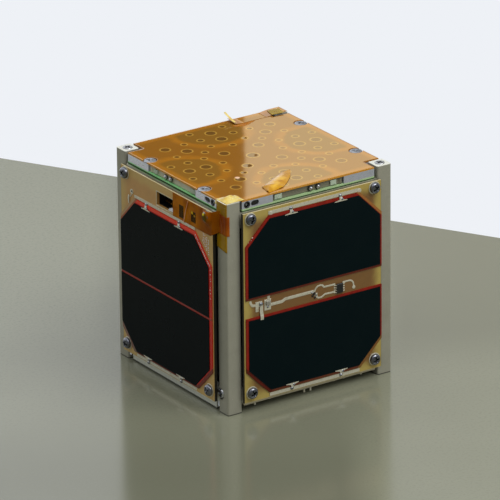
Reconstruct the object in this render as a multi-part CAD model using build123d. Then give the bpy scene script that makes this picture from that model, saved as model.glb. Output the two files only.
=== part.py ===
from build123d import *
import os

# One-unit cube satellite, stowed, standing on its four rails.
# Millimetres, +Z up, origin at the middle of the base, front face towards -Y, ports towards -X.

# Frame
BODY_W = 100.0           # across the outer faces of the rails
BODY_H = 113.5           # length of a rail
RAIL_W = 8.5             # side of a rail's square section
RAIL_ROUND = 1.0         # rounding of a rail's long edges
BAR_RECESS = 0.8         # ribs and side bars behind the rail faces
RIB_D = 8.2              # depth of the front and back ribs
RIB_H = 8.0              # height of the ribs and the low side bars
RIB_FOOT = 5.0           # underside of the low ribs, above the floor
SIDE_BAR_T = 3.0         # thickness of the left and right side bars
HIGH_BAR_H = 3.6         # height of the high side bars
LIP_FOOT = 0.4           # lower edge of the lip under a low side bar
LIP_RELIEF = 3.0         # gap between the lip's end and the rail

# Counterbores for the frame screws, in the left and right faces of the rails
FRAME_SCREW_IN = 7.0     # screw axis from the rail's front or back face
FRAME_SCREW_END = 10.1   # screw axis from the rail's end
FRAME_BORE_R = 3.2
FRAME_BORE_DEPTH = 3.6

# Spring plungers in the rails' top ends
PLUNGER_R = 1.6
PLUNGER_PLAY = 0.1
PLUNGER_L = 5.0
PLUNGER_SINK = 0.2       # tip under the rail's end

# Side panels on hexagonal standoffs
PANEL_LAP = 0.3          # panel over the edge of a rail, to each side
PANEL_T = 1.6
PANEL_LIFT = 1.0         # inner face outside the rail faces
PANEL_FOOT = 5.9         # bottom edge above the floor
PANEL_HEAD = 6.1         # top edge below the rails' top ends
SCREW_IN = 4.3           # panel screw from the side edge
SCREW_LOW = 5.0          # low screws above the bottom edge
SCREW_HIGH = 3.3         # high screws below the top edge
SCREW_HOLE_R = 1.6
WASHER_ROOM = 3.7        # radius kept clear round a screw
STANDOFF_R = 2.7
HOLE_SIDES = 10          # facets of the small repeated holes

# Solar cells on their red insulating backing
CELL_ROOM = 3.6          # panel width left beside a cell
CELL_EDGES = {"split": 1.0, "stacked": 0.2}    # of it, towards the far side edge
CELL_CROP = 13.0         # legs of the two cropped corners
CELL_T = 0.3
BACKING_T = 0.5
BACKING_RIMS = {"split": 1.6, "stacked": 2.4}  # backing shown round a cell
LOW_RIMS = {"split": 1.4, "stacked": 0.8}      # backing shown under the low cell
INNER_RIM = 1.2          # backing shown towards the bare strip
STRIP_H = 12.2           # bare strip between the front and back panels' cells
SPLIT_HEAD = 5.2         # their high cell below the panel's top edge
STACK_GAP = 1.3          # between the left and right panels' cells

# Tinned bus strips under the low cell and over the high one
BUS_WIDTHS = {"split": 1.8, "stacked": 1.5}
BUS_T = 0.25
BUS_GAP = 0.4            # strip to backing
BUS_EDGE = 0.5           # low strip to the panel's bottom edge
BUS_OVER = 0.5           # strip beyond the crops, to each side

# Ports in the left panel: start across the panel, width, height
SERVICE_PORT = (-8.8, 15.0, 7.1)
SIDE_PORTS = ((11.9, 4.1, 6.8), (22.6, 4.3, 5.7))
PORT_DROP = 0.4          # ports under the high side bar
CONNECTOR_FLANGE = 0.9   # connector beyond its port, to each side and below
CONNECTOR_D = 6.0
CONNECTOR_WALL = 0.8

# Eight-lead driver chip in the front panel's bare strip
CHIP_X = 16.0
CHIP_LIFT = 1.2          # chip over the low cell's backing
CHIP_W, CHIP_H, CHIP_T = 3.4, 5.0, 0.75
LEAD_COUNT, LEAD_PITCH = 4, 1.27
LEAD_W, LEAD_REACH, LEAD_T = 0.42, 0.9, 0.3

# Base panel
BASE_T = 1.6
BASE_GAP = 0.4           # to the side bars' lips
BASE_RECESS = 0.4        # front and back edges behind the rail faces
BASE_SCREW_IN = 10.0     # base screw from the side of its corner notch

# Connector pins along the base panel's front edge: notch sign or 0 for the middle, x from there, length
PIN_W = 0.9
PIN_IN = 1.2             # pin axis behind the front edge
PINS = (
    (-1, 7.0, 1.5),
    (-1, 16.0, 0.6),
    (0, -3.0, 2.1),
    (0, 0.8, 2.1),
    (1, -24.5, 0.6),
    (1, -18.5, 0.6),
    (1, -8.0, 1.0),
)

# Electronics and battery stack, one plain mass on the base panel
STACK_ROOM = 2.0         # to ribs and side bars
STACK_HEAD = 16.0        # under the antenna module

# Antenna module between the rails' top ends
MODULE_RECESS = 0.8      # sides behind the rail faces
NOTCH_GAP = 1.5          # corner notches to the rails
BOARD_T = 1.7
BLOCK_H = 3.9
BLOCK_IN = 21.5          # inner faces of the corner blocks, from the middle
COVER_T = 0.7
FILM_T = 0.1
EYE_R = 1.4              # round hole in the slotted blocks, and half the slot's height
EYE_IN = 3.0             # hole from the block's notch
SLOT_IN = 7.8            # slot's middle from the block's notch
SLOT_L = 4.8
SLOT_DEPTH = 4.0
TOP_SCREW_IN = 4.0       # cover screw behind the left or right rail faces
TOP_SCREW_OVER = 3.0     # cover screw beyond the block's inner face
TOP_NOTCH_R = 3.6        # edge notch round a cover screw

# Holes in the cover: x, y, radius, each mirrored into all eighths of the plate
COVER_HOLES = (
    (32.0, 32.0, 2.3),
    (24.0, 24.0, 2.5),
    (10.5, 10.5, 2.4),
    (28.5, 0.0, 2.5),
    (38.5, 0.0, 2.5),
    (18.3, 0.0, 1.4),
    (17.5, 17.5, 1.4),
    (22.8, 10.3, 1.3),
    (32.8, 10.0, 1.5),
    (32.8, 20.0, 1.3),
    (43.0, 10.0, 1.4),
)

# Antenna doors on upright hinge pins
DOOR_T = 1.2
DOOR_GAP = 0.3           # above, below and beside the barrel
DOOR_END_GAP = 0.8       # free end to the block
DOOR_RECESS = 1.2        # door face behind the module's side
BARREL_R = 1.2
HINGE_PIN_R = 0.6
HINGE_PLAY = 0.05

# Antenna blades, stowed in a half round behind each door
BLADE_R = 15.5
BLADE_T = 0.4
BLADE_ROOM = 0.7         # blade under the cover
BLADE_IN = 5.0           # middle of the bend behind the module's side

# Polyimide tape
TAPE_T = 0.12
PORT_TAPE_START = 6.2    # across the left panel
PORT_TAPE_GAP = 0.1      # over the left panel's high bus strip
RAIL_TAPE_H = 24.5
FLAP_X, FLAP_W, FLAP_L, FLAP_IN = -23.0, 25.0, 16.0, 3.2
STRIP_L, STRIP_W, STRIP_IN = 24.0, 8.0, 1.0

# Places worked out from the sizes above
HALF = BODY_W / 2
RAIL_IN = HALF - RAIL_W
RAIL_MID = HALF - RAIL_W / 2
BAR_FACE = HALF - BAR_RECESS
PANEL_HALF = RAIL_IN + PANEL_LAP
PANEL_IN = HALF + PANEL_LIFT
PANEL_OUT = PANEL_IN + PANEL_T
PANEL_TOP = BODY_H - PANEL_HEAD
SCREW_X = PANEL_HALF - SCREW_IN
SCREW_LEVELS = (PANEL_FOOT + SCREW_LOW, PANEL_TOP - SCREW_HIGH)
FILM_Z = BODY_H - TAPE_T - FILM_T
COVER_Z = FILM_Z - COVER_T
BLOCK_Z = COVER_Z - BLOCK_H
BOARD_Z = BLOCK_Z - BOARD_T
BASE_Z = RIB_FOOT - BASE_T
PORT_TOP = BOARD_Z - HIGH_BAR_H - PORT_DROP
MODULE = HALF - MODULE_RECESS
NOTCH = RAIL_IN - NOTCH_GAP
HINGE_X = BLOCK_IN - BARREL_R - DOOR_GAP
HINGE_Y = MODULE - DOOR_RECESS - DOOR_T / 2
CELL_SEAT = PANEL_OUT + BACKING_T
CELL_W = 2 * PANEL_HALF - CELL_ROOM
SPLIT_FOOT = BUS_EDGE + BUS_WIDTHS["split"] + BUS_GAP + LOW_RIMS["split"]
CELL_H = (PANEL_TOP - PANEL_FOOT - SPLIT_FOOT - SPLIT_HEAD - STRIP_H) / 2

# Sides: name, turn about Z from the front, cell layout, side that cells and door hinge lie towards
SIDES = (
    ("front", 0, "split", 1),
    ("right", 90, "stacked", -1),
    ("back", 180, "split", 1),
    ("left", 270, "stacked", -1),
)
# Corners: name, x sign, y sign, whether its antenna block is slotted
CORNERS = (
    ("front_left", -1, -1, True),
    ("front_right", 1, -1, False),
    ("back_right", 1, 1, True),
    ("back_left", -1, 1, False),
)


def span(x, y, z):
    """A box from its (low, high) limits along X, Y and Z."""
    limits = (x, y, z)
    middle = [(low + high) / 2 for low, high in limits]
    size = [high - low for low, high in limits]
    return Pos(*middle) * Box(*size)


def raised(outline, near, far):
    """An outline drawn across X and up Z, thickened between two distances out on the front side."""
    return extrude(Plane.XZ.offset(near) * outline, amount=far - near)


def upright(outline, low, high):
    """An outline drawn on the floor plan, thickened between two heights."""
    return extrude(Pos(0, 0, low) * outline, amount=high - low)


def disc(radius, x, y):
    return Pos(x, y) * Circle(radius)


def drill(radius, x, y):
    return Pos(x, y) * RegularPolygon(radius, HOLE_SIDES)


def turned(angle, part):
    return Rot(0, 0, angle) * part


def save(name, *solids):
    shape = solids[0] if len(solids) == 1 else Compound(children=list(solids))
    shape.label = name
    export_step(shape, f"parts/{name}.step")


def frame_bores():
    """Counterbores of the frame screws, cut into rails and side bars alike."""
    y = HALF - FRAME_SCREW_IN
    floor = HALF - FRAME_BORE_DEPTH
    bores = []
    for z in (FRAME_SCREW_END, BODY_H - FRAME_SCREW_END):
        for sy in (-1, 1):
            bore = raised(disc(FRAME_BORE_R, sy * y, z), floor, HALF + 1)
            bores += [turned(90, bore), turned(270, bore)]
    return bores


def rail(sx, sy, bores):
    x, y = sx * RAIL_MID, sy * RAIL_MID
    post = upright(Pos(x, y) * RectangleRounded(RAIL_W, RAIL_W, RAIL_ROUND), 0, BODY_H)
    seat = BODY_H - PLUNGER_SINK - PLUNGER_L
    return post - bores - upright(disc(PLUNGER_R + PLUNGER_PLAY, x, y), seat, BODY_H + 1)


def plunger(sx, sy):
    tip = BODY_H - PLUNGER_SINK
    return upright(disc(PLUNGER_R, sx * RAIL_MID, sy * RAIL_MID), tip - PLUNGER_L, tip)


def crossbar(depth, low, high):
    """Bar between the two front rails."""
    return span((-RAIL_IN, RAIL_IN), (-BAR_FACE, depth - BAR_FACE), (low, high))


def low_side_bar():
    """Low side bar, built on the front side, with the lip that closes the gap under the panel."""
    end = RAIL_IN - LIP_RELIEF
    lip = span((-end, end), (-BAR_FACE, SIDE_BAR_T - BAR_FACE), (LIP_FOOT, RIB_FOOT))
    return crossbar(SIDE_BAR_T, RIB_FOOT, RIB_FOOT + RIB_H) + lip


def screw_places():
    return [(sx * SCREW_X, z) for sx in (-1, 1) for z in SCREW_LEVELS]


def standoffs():
    return [raised(Pos(x, z) * RegularPolygon(STANDOFF_R, 6), BAR_FACE, PANEL_IN) for x, z in screw_places()]


def port_blocks(near, far, flange=0):
    """Blocks in the places of the ports, a flange wider to each side and lower."""
    blocks = []
    for x, width, height in (SERVICE_PORT,) + SIDE_PORTS:
        sides = (x - flange, x + width + flange)
        blocks.append(span(sides, (-far, -near), (PORT_TOP - height - flange, PORT_TOP)))
    return blocks


def panel(with_ports):
    board = span((-PANEL_HALF, PANEL_HALF), (-PANEL_OUT, -PANEL_IN), (PANEL_FOOT, PANEL_TOP))
    holes = [drill(SCREW_HOLE_R, x, z) for x, z in screw_places()]
    board = board - [raised(hole, PANEL_IN - 1, PANEL_OUT + 1) for hole in holes]
    if with_ports:
        board = board - port_blocks(PANEL_IN - 1, PANEL_OUT + 1)
    return board


def connectors():
    """Socket shells behind the ports, seated on the panel's inner face."""
    floor = PANEL_IN - CONNECTOR_D
    shells = port_blocks(floor, PANEL_IN, CONNECTOR_FLANGE)
    sockets = port_blocks(floor + CONNECTOR_WALL, PANEL_IN + 1)
    roof = span((-PANEL_HALF, PANEL_HALF), (-PANEL_IN, -floor), (PORT_TOP - CONNECTOR_WALL / 2, PORT_TOP))
    return [shell - socket + (shell & roof) for shell, socket in zip(shells, sockets)]


def cell_middle(layout, toward):
    return toward * (CELL_ROOM / 2 - CELL_EDGES[layout])


def cell_levels(layout):
    """Bottom edges of the low and the high cell."""
    low = PANEL_FOOT + BUS_EDGE + BUS_WIDTHS[layout] + BUS_GAP + LOW_RIMS[layout]
    gap = STRIP_H if layout == "split" else STACK_GAP
    return (low, low + CELL_H + gap)


def cell_outlines(layout, toward):
    """Two rectangles, the low one cropped at its bottom corners, the high one at its top corners."""
    side, rise = CELL_W / 2, CELL_H / 2
    half = (
        (-side, -rise),
        (side, -rise),
        (side, rise - CELL_CROP),
        (side - CELL_CROP, rise),
        (CELL_CROP - side, rise),
        (-side, rise - CELL_CROP),
    )
    low, high = cell_levels(layout)
    x = cell_middle(layout, toward)
    top = make_face(Polyline(*half, close=True))
    bottom = mirror(top, about=Plane.XZ)
    return [Pos(x, low + rise) * bottom, Pos(x, high + rise) * top]


def cells(layout, toward):
    return [raised(outline, CELL_SEAT, CELL_SEAT + CELL_T) for outline in cell_outlines(layout, toward)]


def backings(layout, toward):
    """Cell outlines grown by the rim, cut off at the panel's edge, round the screws and at the bare strip."""
    foot = cell_levels(layout)[0] - LOW_RIMS[layout]
    bounds = Pos(0, (foot + BODY_H) / 2) * Rectangle(2 * PANEL_HALF, BODY_H - foot)
    bounds = bounds - [drill(WASHER_ROOM, x, z) for x, z in screw_places()]
    if layout == "split":
        middle = cell_levels(layout)[1] - STRIP_H / 2
        bounds = bounds - Pos(0, middle) * Rectangle(2 * PANEL_HALF, STRIP_H - 2 * INNER_RIM)
    grown = [
        offset(outline, amount=BACKING_RIMS[layout], kind=Kind.INTERSECTION) & bounds
        for outline in cell_outlines(layout, toward)
    ]
    if layout == "stacked":
        grown = [grown[0] + grown[1]]
    return [raised(outline, PANEL_OUT, CELL_SEAT) for outline in grown]


def bus_levels(layout):
    """Bottom edges of the low and the high bus strip."""
    high = cell_levels(layout)[1]
    return (PANEL_FOOT + BUS_EDGE, high + CELL_H + BACKING_RIMS[layout] + BUS_GAP)


def bus_strips(layout, toward):
    width = BUS_WIDTHS[layout]
    x = cell_middle(layout, toward)
    reach = CELL_W / 2 - CELL_CROP + BUS_OVER
    out = (-PANEL_OUT - BUS_T, -PANEL_OUT)
    return [span((x - reach, x + reach), out, (z, z + width)) for z in bus_levels(layout)]


def driver_chip():
    low = cell_levels("split")[0]
    z = low + CELL_H + INNER_RIM + CHIP_LIFT + CHIP_H / 2
    body = raised(Pos(CHIP_X, z) * Rectangle(CHIP_W, CHIP_H), PANEL_OUT, PANEL_OUT + CHIP_T)
    for index in range(LEAD_COUNT):
        level = z + (index - (LEAD_COUNT - 1) / 2) * LEAD_PITCH
        lead = Pos(CHIP_X, level) * Rectangle(CHIP_W + 2 * LEAD_REACH, LEAD_W)
        body = body + raised(lead, PANEL_OUT, PANEL_OUT + LEAD_T)
    return body


def notched(half_x, half_y):
    """Rectangle whose corners are cut away round the rails."""
    return Rectangle(2 * half_x, 2 * NOTCH) + Rectangle(2 * NOTCH, 2 * half_y)


def base_panel():
    x, y = NOTCH - BASE_SCREW_IN, BAR_FACE - RIB_D / 2
    outline = notched(BAR_FACE - SIDE_BAR_T - BASE_GAP, HALF - BASE_RECESS)
    holes = [drill(SCREW_HOLE_R, sx * x, sy * y) for sx in (-1, 1) for sy in (-1, 1)]
    return upright(outline - holes, BASE_Z, RIB_FOOT)


def base_pins():
    y = BASE_RECESS + PIN_IN - HALF
    section = Rectangle(PIN_W, PIN_W)
    return [upright(Pos(end * NOTCH + x, y) * section, BASE_Z - length, BASE_Z) for end, x, length in PINS]


def electronics_stack():
    x = BAR_FACE - SIDE_BAR_T - STACK_ROOM
    y = BAR_FACE - RIB_D - STACK_ROOM
    return span((-x, x), (-y, y), (RIB_FOOT, BOARD_Z - STACK_HEAD))


def top_screw_places():
    x = HALF - TOP_SCREW_IN
    y = BLOCK_IN + TOP_SCREW_OVER
    return [(sx * x, sy * y) for sx in (-1, 1) for sy in (-1, 1)]


def corner_block(sx, sy, slotted):
    """Spacer between board and cover, cut away round its rail."""
    middle = (BLOCK_IN + MODULE) / 2
    width = MODULE - BLOCK_IN
    outline = Pos(sx * middle, sy * middle) * Rectangle(width, width) & notched(MODULE, MODULE)
    outline = outline - [drill(SCREW_HOLE_R, x, y) for x, y in top_screw_places()]
    block = upright(outline, BLOCK_Z, COVER_Z)
    if slotted:
        block = block - [turned(0 if sx < 0 else 180, cut) for cut in eye_and_slot()]
    return block


def eye_and_slot():
    """Round hole and slot in both outer faces of the front left block."""
    level = (BLOCK_Z + COVER_Z) / 2
    eye = disc(EYE_R, NOTCH - EYE_IN, level)
    slot = Pos(NOTCH - SLOT_IN, level) * SlotOverall(SLOT_L, 2 * EYE_R)
    cuts = [raised(outline, MODULE - SLOT_DEPTH, MODULE + 1) for outline in (eye, slot)]
    return [mirror(cut, about=Plane.YZ) for cut in cuts] + [turned(270, cut) for cut in cuts]


def cover_outline():
    return notched(MODULE, MODULE) - [disc(TOP_NOTCH_R, x, y) for x, y in top_screw_places()]


def cover():
    places = set()
    for a, b, radius in COVER_HOLES:
        for x, y in ((a, b), (b, a)):
            places |= {(sx * x + 0.0, sy * y + 0.0, radius) for sx in (-1, 1) for sy in (-1, 1)}
    return upright(cover_outline() - [drill(r, x, y) for x, y, r in sorted(places)], COVER_Z, FILM_Z)


def door(hinge_side):
    """Front antenna door, its barrel at the hinge side and its free end by the other block."""
    low, high = BLOCK_Z + DOOR_GAP, COVER_Z - DOOR_GAP
    free_end = BLOCK_IN - DOOR_END_GAP
    length = HINGE_X + free_end
    middle = hinge_side * (HINGE_X - free_end) / 2
    x, y = hinge_side * HINGE_X, -HINGE_Y
    outline = Pos(middle, y) * Rectangle(length, DOOR_T) + disc(BARREL_R, x, y)
    return upright(outline - disc(HINGE_PIN_R + HINGE_PLAY, x, y), low, high)


def hinge_pin(hinge_side):
    return upright(disc(HINGE_PIN_R, hinge_side * HINGE_X, -HINGE_Y), BLOCK_Z, COVER_Z)


def blade():
    """Antenna tape in a half round that opens towards its door."""
    y = BLADE_IN - MODULE
    ring = disc(BLADE_R, 0, y) - disc(BLADE_R - BLADE_T, 0, y)
    inside = Pos(0, y + BLADE_R) * Rectangle(2 * BLADE_R, 2 * BLADE_R)
    return upright(ring & inside, BLOCK_Z, COVER_Z - BLADE_ROOM)


def tapes():
    """Tape over the side ports, on the front left rail, and on the film as a flap and an edge strip."""
    port_w = PANEL_HALF - PORT_TAPE_START
    foot = bus_levels("stacked")[1] + BUS_WIDTHS["stacked"] + PORT_TAPE_GAP
    port = Pos(PORT_TAPE_START + port_w / 2, (foot + PANEL_TOP) / 2) * Rectangle(port_w, PANEL_TOP - foot)
    port = raised(port - drill(WASHER_ROOM, SCREW_X, SCREW_LEVELS[1]), PANEL_OUT, PANEL_OUT + TAPE_T)
    wrap_w = RAIL_W - RAIL_ROUND
    wrap = Pos(RAIL_IN + wrap_w / 2, BODY_H - RAIL_TAPE_H / 2) * Rectangle(wrap_w, RAIL_TAPE_H)
    wrap = raised(wrap, HALF, HALF + TAPE_T)
    flap = Pos(FLAP_X + FLAP_W / 2, FLAP_IN + FLAP_L / 2 - MODULE) * Rectangle(FLAP_W, FLAP_L)
    strip = Pos(NOTCH - STRIP_IN - STRIP_L / 2, MODULE - STRIP_IN - STRIP_W / 2) * Rectangle(STRIP_L, STRIP_W)
    top = FILM_Z + FILM_T
    return [turned(270, port), turned(270, wrap)] + [upright(o, top, top + TAPE_T) for o in (flap, strip)]


def write_frame():
    bores = frame_bores()
    for name, sx, sy, _ in CORNERS:
        save(f"rail_{name}", rail(sx, sy, bores))
    save("rail_plungers", *[plunger(sx, sy) for _, sx, sy, _ in CORNERS])
    for name, angle in (("front", 0), ("back", 180)):
        save(f"rib_{name}_low", turned(angle, crossbar(RIB_D, RIB_FOOT, RIB_FOOT + RIB_H)))
        save(f"rib_{name}_high", turned(angle, crossbar(RIB_D, BOARD_Z - RIB_H, BOARD_Z)))
    for name, angle in (("right", 90), ("left", 270)):
        save(f"side_bar_{name}_low", turned(angle, low_side_bar()) - bores)
        high_bar = crossbar(SIDE_BAR_T, BOARD_Z - HIGH_BAR_H, BOARD_Z)
        save(f"side_bar_{name}_high", turned(angle, high_bar) - bores)


def write_panels():
    strips, posts = [], []
    for name, angle, layout, toward in SIDES:
        save(f"panel_{name}", turned(angle, panel(name == "left")))
        save(f"cell_backing_{name}", *[turned(angle, part) for part in backings(layout, toward)])
        save(f"solar_cells_{name}", *[turned(angle, part) for part in cells(layout, toward)])
        strips += [turned(angle, part) for part in bus_strips(layout, toward)]
        posts += [turned(angle, part) for part in standoffs()]
    save("bus_strips", *strips)
    save("panel_standoffs", *posts)
    service, *others = [turned(270, part) for part in connectors()]
    save("service_connector", service)
    save("side_connectors", *others)
    save("driver_chip", driver_chip())


def write_base():
    save("base_panel", base_panel())
    save("base_pins", *base_pins())
    save("electronics_stack", electronics_stack())


def write_antenna_module():
    save("antenna_board", upright(notched(MODULE, MODULE), BOARD_Z, BLOCK_Z))
    for name, sx, sy, slotted in CORNERS:
        save(f"corner_block_{name}", corner_block(sx, sy, slotted))
    for name, angle, _, toward in SIDES:
        save(f"antenna_door_{name}", turned(angle, door(toward)))
    save("hinge_pins", *[turned(angle, hinge_pin(toward)) for _, angle, _, toward in SIDES])
    save("antenna_blades", *[turned(angle, blade()) for _, angle, _, _ in SIDES])
    save("top_cover", cover())
    save("cover_film", upright(cover_outline(), FILM_Z, FILM_Z + FILM_T))
    save("tape_strips", *tapes())


os.makedirs("parts", exist_ok=True)
write_frame()
write_panels()
write_base()
write_antenna_module()
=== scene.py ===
import math
import random
from functools import partialmethod, reduce
from itertools import product

import bmesh
import bpy
from mathutils import Matrix, Vector, noise


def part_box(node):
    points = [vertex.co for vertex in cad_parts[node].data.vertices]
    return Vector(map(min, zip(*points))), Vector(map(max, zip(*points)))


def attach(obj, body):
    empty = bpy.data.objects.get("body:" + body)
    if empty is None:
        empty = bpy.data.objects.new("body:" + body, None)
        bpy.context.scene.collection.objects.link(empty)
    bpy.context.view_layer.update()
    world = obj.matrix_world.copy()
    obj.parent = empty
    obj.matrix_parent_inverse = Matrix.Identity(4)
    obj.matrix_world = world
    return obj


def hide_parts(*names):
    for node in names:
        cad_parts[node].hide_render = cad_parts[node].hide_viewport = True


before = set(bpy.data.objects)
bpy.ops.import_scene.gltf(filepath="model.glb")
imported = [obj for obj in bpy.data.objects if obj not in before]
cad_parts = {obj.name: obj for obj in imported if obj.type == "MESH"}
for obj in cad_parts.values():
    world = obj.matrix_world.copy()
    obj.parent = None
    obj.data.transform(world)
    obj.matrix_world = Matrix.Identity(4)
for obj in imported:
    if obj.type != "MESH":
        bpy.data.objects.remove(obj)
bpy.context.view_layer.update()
MM = 0.001
SIDES = ("front", "right", "back", "left")
FLANKS = ("left", "right")
dice = random.Random(11)


# Places taken from the CAD, in millimetres
def low(node):
    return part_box(node)[0] / MM


def high(node):
    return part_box(node)[1] / MM


def middle(node):
    return (low(node) + high(node)) / 2


PANEL_OUT = high("panel_back").y
CELL_OUT = high("solar_cells_back").y
BUS_OUT = high("bus_strips").y
RAIL_OUT = high("rail_back_right").y
RAIL_IN = low("rail_back_right").y
BODY_TOP = high("rail_back_right").z
PANEL_HALF = high("panel_front").x
PANEL_FOOT = low("panel_front").z
PANEL_TOP = high("panel_front").z
COVER_HALF = high("top_cover").x
COVER_UNDER = low("top_cover").z
FILM_TOP = high("cover_film").z
BASE_UNDER = low("base_panel").z
BOARD_LOW = low("antenna_board").z
BOARD_HIGH = high("antenna_board").z
DOOR_FACE = -low("antenna_door_front").y
DOOR_MID = middle("antenna_door_front").z
SCREW_X = 37.5
SCREW_LEVELS = (10.9, 104.1)
FRAME_SCREW_U = 43.0
FRAME_SCREW_LEVELS = (10.1, 103.4)
FRAME_SCREW_SEAT = 46.4
TOP_SCREWS = ((46.0, 24.5), (-46.0, 24.5), (46.0, -24.5), (-46.0, -24.5))
TOP_NOTCH_R = 3.6
NOTCH = 40.0
CELL_CROP = 13.0
TAPE_THICK = 0.05
# Holes in one eighth of the cover, mirrored to the others: x, y, radius
COVER_HOLES = (
    (0.0, 0.0, 2.9), (10.5, 10.5, 2.4), (17.5, 17.5, 1.4), (24.0, 24.0, 2.5), (32.0, 32.0, 2.3),
    (18.3, 0.0, 1.4), (28.5, 0.0, 2.5), (38.5, 0.0, 2.5),
    (22.8, 10.3, 1.3), (32.8, 10.0, 1.5), (32.8, 20.0, 1.3), (43.0, 10.0, 1.4),
)


def srgb(red, green, blue):
    """Linear colour from the 0 to 255 values of a picture."""
    def linear(value):
        value /= 255
        return value / 12.92 if value <= 0.04045 else ((value + 0.055) / 1.055) ** 2.4
    return (linear(red), linear(green), linear(blue), 1.0)


def scaled(colour, factor):
    """Linear colour of a 0 to 255 colour made paler or darker."""
    return [value * factor for value in srgb(*colour)[:3]] + [1.0]


class Nodes:
    """A node tree, with short calls for the nodes that are used here and the parts x, y and z of a place."""

    def __init__(self, tree, coordinate, scale):
        self.tree = tree
        scaled_place = self.add("ShaderNodeVectorMath", operation="SCALE")
        self.join(self.add("ShaderNodeTexCoord").outputs[coordinate], scaled_place.inputs[0])
        scaled_place.inputs["Scale"].default_value = scale
        self.place = scaled_place.outputs[0]
        split = self.add("ShaderNodeSeparateXYZ")
        self.join(self.place, split.inputs[0])
        self.x, self.y, self.z = split.outputs

    def add(self, kind, **values):
        node = self.tree.nodes.new(kind)
        for key, value in values.items():
            setattr(node, key, value)
        return node

    def join(self, source, socket):
        if isinstance(source, bpy.types.NodeSocket):
            self.tree.links.new(source, socket)
        else:
            socket.default_value = source

    def math(self, operation, *values):
        node = self.add("ShaderNodeMath", operation=operation)
        for value, socket in zip(values, node.inputs):
            self.join(value, socket)
        return node.outputs[0]

    plus = partialmethod(math, "ADD")
    less = partialmethod(math, "SUBTRACT")
    times = partialmethod(math, "MULTIPLY")
    size = partialmethod(math, "ABSOLUTE")
    most = partialmethod(math, "MAXIMUM")
    least = partialmethod(math, "MINIMUM")

    def beyond(self, value, start, end):
        """How far a value is past the ends of a span, below 0 inside it."""
        return self.less(self.size(self.less(value, (start + end) / 2)), (end - start) / 2)

    def toward(self, x, y):
        """How far a place lies along a level direction."""
        return self.plus(self.times(self.x, x), self.times(self.y, y))

    def distance(self, u, v, spot_u, spot_v):
        flat = self.add("ShaderNodeCombineXYZ")
        self.join(u, flat.inputs[0])
        self.join(v, flat.inputs[1])
        node = self.add("ShaderNodeVectorMath", operation="DISTANCE")
        self.join(flat.outputs[0], node.inputs[0])
        node.inputs[1].default_value = (spot_u, spot_v, 0)
        return node.outputs["Value"]

    def span(self, value, start, end, low_value=0.0, high_value=1.0, kind="SMOOTHSTEP"):
        node = self.add("ShaderNodeMapRange", interpolation_type=kind)
        for source, socket in zip((value, start, end, low_value, high_value), node.inputs):
            self.join(source, socket)
        return node.outputs[0]

    line = partialmethod(span, kind="LINEAR")

    def mix(self, factor, *colours):
        """Mixes two colours, each a socket, a 0 to 255 tuple or a linear list."""
        node = self.add("ShaderNodeMix", data_type="RGBA")
        self.join(factor, node.inputs[0])
        for colour, socket in zip(colours, node.inputs[6:8]):
            self.join(srgb(*colour) if isinstance(colour, tuple) else colour, socket)
        return node.outputs[2]


class Paint(Nodes):
    """A node material. Lengths are in millimetres."""

    SOCKETS = {
        "roughness": "Roughness", "metallic": "Metallic", "ior": "IOR",
        "specular": "Specular IOR Level", "coat": "Coat Weight", "alpha": "Alpha",
    }

    def __init__(self, name, **look):
        self.material = bpy.data.materials.new(name)
        self.material.use_nodes = True
        super().__init__(self.material.node_tree, "Object", 1 / MM)
        self.shader = self.tree.nodes["Principled BSDF"]
        self.set("Coat Roughness", 0.08)
        for key, value in look.items():
            self.set(self.SOCKETS[key], value)

    def set(self, socket, source):
        self.join(source, self.shader.inputs[socket])

    def noise(self, size, detail=3.0, stretch=(1, 1, 1)):
        """Noise whose grain is about size mm across, drawn out along an axis by a stretch over 1."""
        mapping = self.add("ShaderNodeMapping")
        self.join(self.place, mapping.inputs["Vector"])
        mapping.inputs["Scale"].default_value = [1 / (size * s) for s in stretch]
        node = self.add("ShaderNodeTexNoise")
        self.join(mapping.outputs[0], node.inputs["Vector"])
        node.inputs["Scale"].default_value = 1.0
        node.inputs["Detail"].default_value = detail
        return node.outputs["Fac"]

    def gloss(self, grain, smooth, rough):
        """Roughness that goes from smooth to rough with a grain."""
        self.set("Roughness", self.span(grain, 0.3, 0.7, smooth, rough))

    def specks(self, size, detail, start, end, share):
        """Share of a colour where noise goes from start to end."""
        return self.span(self.noise(size, detail), start, end, 0.0, share)

    def wave(self, period, direction):
        node = self.add("ShaderNodeTexWave", bands_direction=direction)
        self.join(self.place, node.inputs["Vector"])
        node.inputs["Scale"].default_value = 0.314 / period
        return node.outputs["Fac"]

    def ramp(self, value, *steps):
        """Bands of colour from (start, colour) steps."""
        node = self.add("ShaderNodeValToRGB")
        node.color_ramp.interpolation = "CONSTANT"
        while len(node.color_ramp.elements) < len(steps):
            node.color_ramp.elements.new(0.5)
        for element, (place, colour) in zip(node.color_ramp.elements, steps):
            element.position = place
            element.color = srgb(*colour)
        self.join(value, node.inputs[0])
        return node.outputs[0]

    def bump(self, height, depth):
        """Relief of depth mm where height goes from 0 to 1."""
        node = self.add("ShaderNodeBump")
        node.inputs["Strength"].default_value = 1.0
        node.inputs["Distance"].default_value = depth * MM
        self.join(height, node.inputs["Height"])
        self.set("Normal", node.outputs[0])

    def relief(self, size, detail, depth):
        self.bump(self.noise(size, detail), depth)

    def colours(self, *steps):
        """Mixes through (factor, colour) steps, each laid over the one before."""
        result = steps[0]
        for factor, colour in steps[1:]:
            result = self.mix(factor, result, colour)
        self.set("Base Color", result)


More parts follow.
